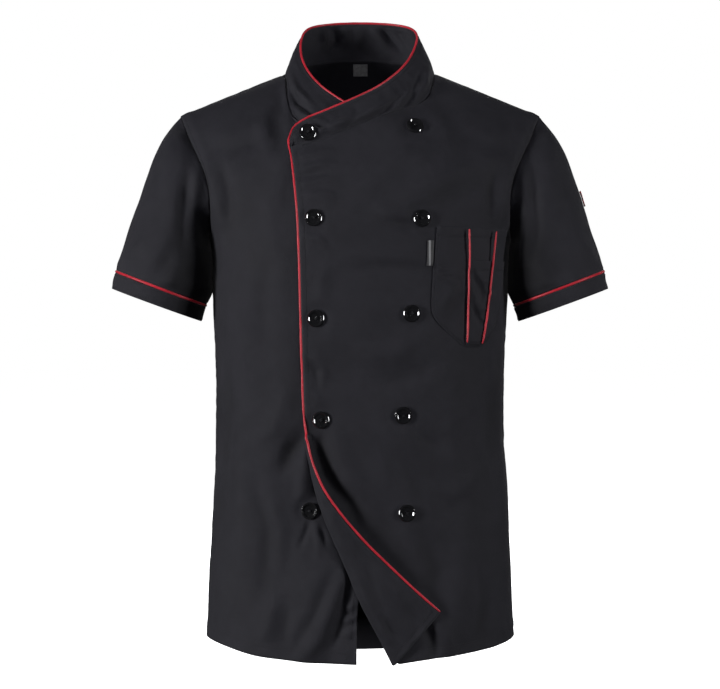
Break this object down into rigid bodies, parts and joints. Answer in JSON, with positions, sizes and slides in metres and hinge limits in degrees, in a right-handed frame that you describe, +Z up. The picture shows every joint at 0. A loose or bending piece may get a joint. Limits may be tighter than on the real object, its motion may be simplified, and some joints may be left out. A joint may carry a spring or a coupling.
{
  "type": "chef jacket",
  "caption": "Short-sleeved double-breasted chef jacket in black cloth with a crossing stand collar, red piping, chest and pen pocket, shown filled out with its lower front corner turned back.",
  "frame": {"origin": "midway between the neck ends of the two shoulder seams, where the wearer's shoulders and neck hold the garment up", "axes": "+X to the wearer's left, +Y to the back, +Z up along the garment's length"},
  "size_m": [0.619, 0.2398, 0.8105],
  "materials": {
    "black_cloth": "matt black polyester-cotton twill with a faint sheen",
    "red_piping": "red satin-covered cord piping",
    "gloss_black_buttons": "glossy black dished button with a raised rim",
    "woven_tab": "plain woven tab without any marking"
  },
  "bodies": {
    "root": {"front_over": "black_cloth", "front_under": "black_cloth", "back": "black_cloth", "front_facing_turned": "black_cloth", "collar": "black_cloth", "piping_front": "red_piping", "sleeve_left": "black_cloth", "cuff_left": "black_cloth", "piping_cuff_left": "red_piping", "sleeve_right": "black_cloth", "cuff_right": "black_cloth", "piping_cuff_right": "red_piping", "chest_pocket": "black_cloth", "pen_pocket": "black_cloth", "piping_pocket_inner": "red_piping", "piping_pocket_outer": "red_piping", "pocket_tab": "woven_tab", "neck_tab": "woven_tab", "sleeve_tab": "red_piping", "button_right_1": "gloss_black_buttons", "button_right_2": "gloss_black_buttons", "button_right_3": "gloss_black_buttons", "button_right_4": "gloss_black_buttons", "button_right_5": "gloss_black_buttons", "button_left_1": "gloss_black_buttons", "button_left_2": "gloss_black_buttons", "button_left_3": "gloss_black_buttons", "button_left_4": "gloss_black_buttons", "button_left_5": "gloss_black_buttons"}
  },
  "joints": []
}
